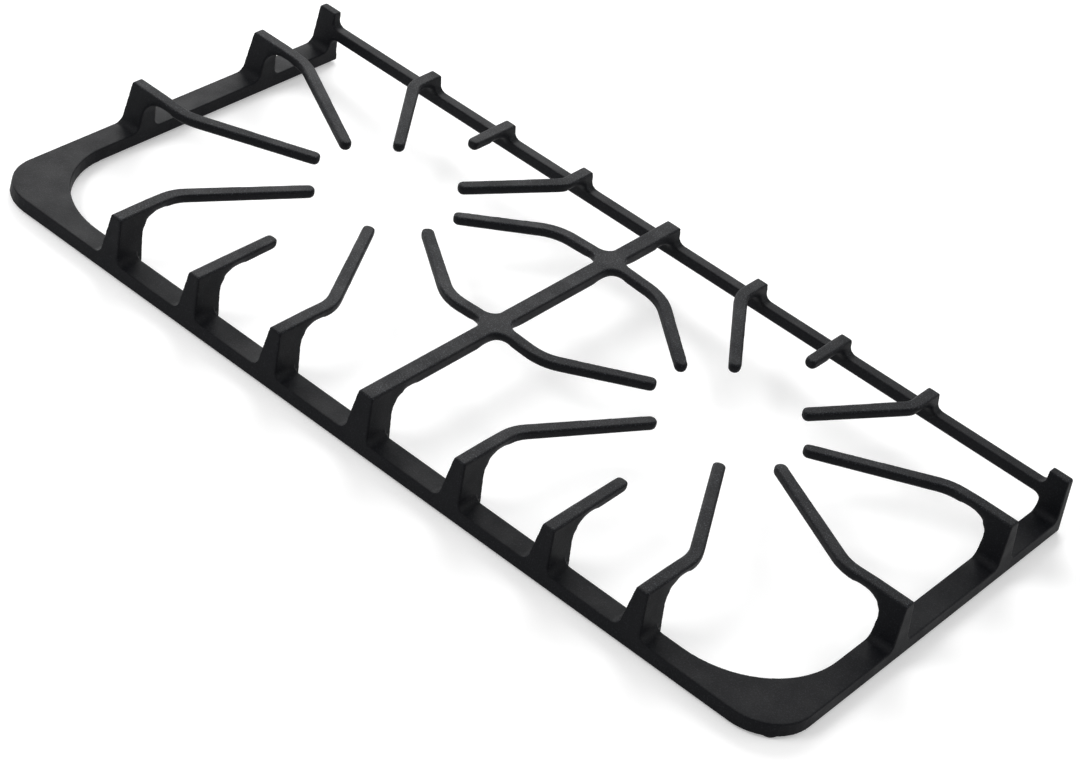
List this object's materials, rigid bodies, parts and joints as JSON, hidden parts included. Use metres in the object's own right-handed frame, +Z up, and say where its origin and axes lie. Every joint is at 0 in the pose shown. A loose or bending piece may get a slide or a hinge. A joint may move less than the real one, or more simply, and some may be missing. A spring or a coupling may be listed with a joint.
{
  "type": "hob pan support",
  "caption": "Flat black cast-iron pan support for gas burners: low frame with rounded near corners, raised posts, bent fingers round each burner, a middle bar and a back rail.",
  "frame": {"origin": "on the surface it stands on, under the middle of the whole part", "axes": "+X along the length to the right, +Y to the back rail, +Z up to the pans"},
  "size_m": [0.56, 0.27, 0.0366],
  "materials": {
    "casting": "matt black enamel with a fine sandy grain",
    "foot": "matt"
  },
  "bodies": {
    "root": {"grate_casting": "casting", "rubber_foot_near_left": "foot", "rubber_foot_near_right": "foot", "rubber_foot_far_left": "foot", "rubber_foot_far_right": "foot"}
  },
  "joints": []
}
